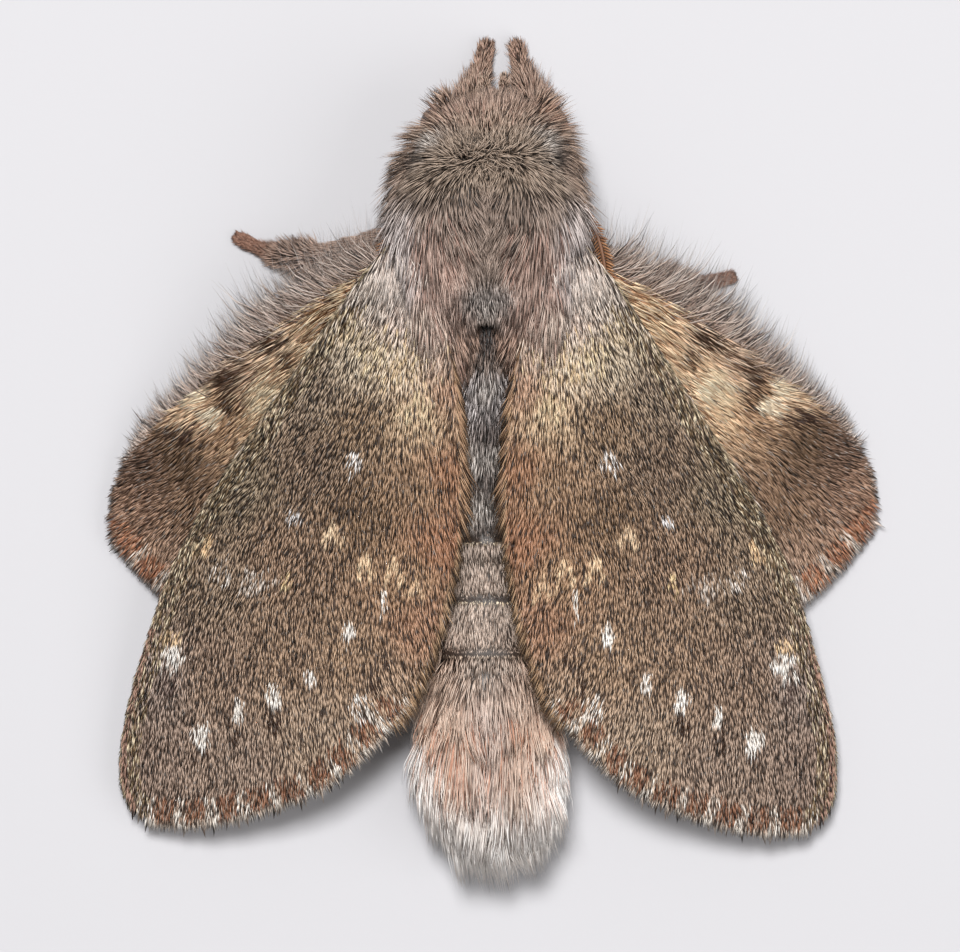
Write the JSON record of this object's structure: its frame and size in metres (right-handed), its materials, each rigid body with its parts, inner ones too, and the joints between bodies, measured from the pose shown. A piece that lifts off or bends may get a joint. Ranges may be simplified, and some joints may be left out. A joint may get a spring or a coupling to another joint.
{
  "type": "resting lobster moth (Stauropus fagi), still model",
  "caption": "Still life-size model of a male lobster moth at rest, wings folded over a furry body, hindwings showing in front of the forewings.",
  "frame": {"origin": "on the ground under the middle of the resting moth, on the body's midline", "axes": "the head points to -Y, the tail to +Y, the moth's left side is +X, its back is up at +Z"},
  "size_m": [0.033, 0.0365, 0.0079],
  "materials": {
    "body_fur": "soft matt hair-like scales, grey brown",
    "tail_fur": "soft matt hair-like scales, pale grey to pinkish brown",
    "leg_fur": "short hair-like scales, reddish brown",
    "forewing_scales": "narrow overlapping scales, speckled brown with pale marks and a faint gloss",
    "hindwing_scales": "narrow overlapping scales, dark brown with cream patches and a pale fringe",
    "antenna_comb": "thin orange-brown chitin comb, satin",
    "compound_eye": "glossy dark brown chitin facets"
  },
  "bodies": {
    "root": {"head": "body_fur", "thorax": "body_fur", "abdomen_front": "body_fur", "abdomen_middle": "body_fur", "abdomen_rear": "tail_fur", "tail_tuft": "tail_fur", "eye_left": "compound_eye", "antenna_left": "antenna_comb", "palp_left": "leg_fur", "forewing_left": "forewing_scales", "hindwing_left": "hindwing_scales", "foreleg_femur_left": "leg_fur", "foreleg_tibia_left": "leg_fur", "foreleg_tarsus_left": "leg_fur", "midleg_femur_left": "leg_fur", "midleg_tibia_left": "leg_fur", "midleg_tarsus_left": "leg_fur", "hindleg_femur_left": "leg_fur", "hindleg_tibia_left": "leg_fur", "hindleg_tarsus_left": "leg_fur", "eye_right": "compound_eye", "antenna_right": "antenna_comb", "palp_right": "leg_fur", "forewing_right": "forewing_scales", "hindwing_right": "hindwing_scales", "foreleg_femur_right": "leg_fur", "foreleg_tibia_right": "leg_fur", "foreleg_tarsus_right": "leg_fur", "midleg_femur_right": "leg_fur", "midleg_tibia_right": "leg_fur", "midleg_tarsus_right": "leg_fur", "hindleg_femur_right": "leg_fur", "hindleg_tibia_right": "leg_fur", "hindleg_tarsus_right": "leg_fur"}
  },
  "joints": []
}
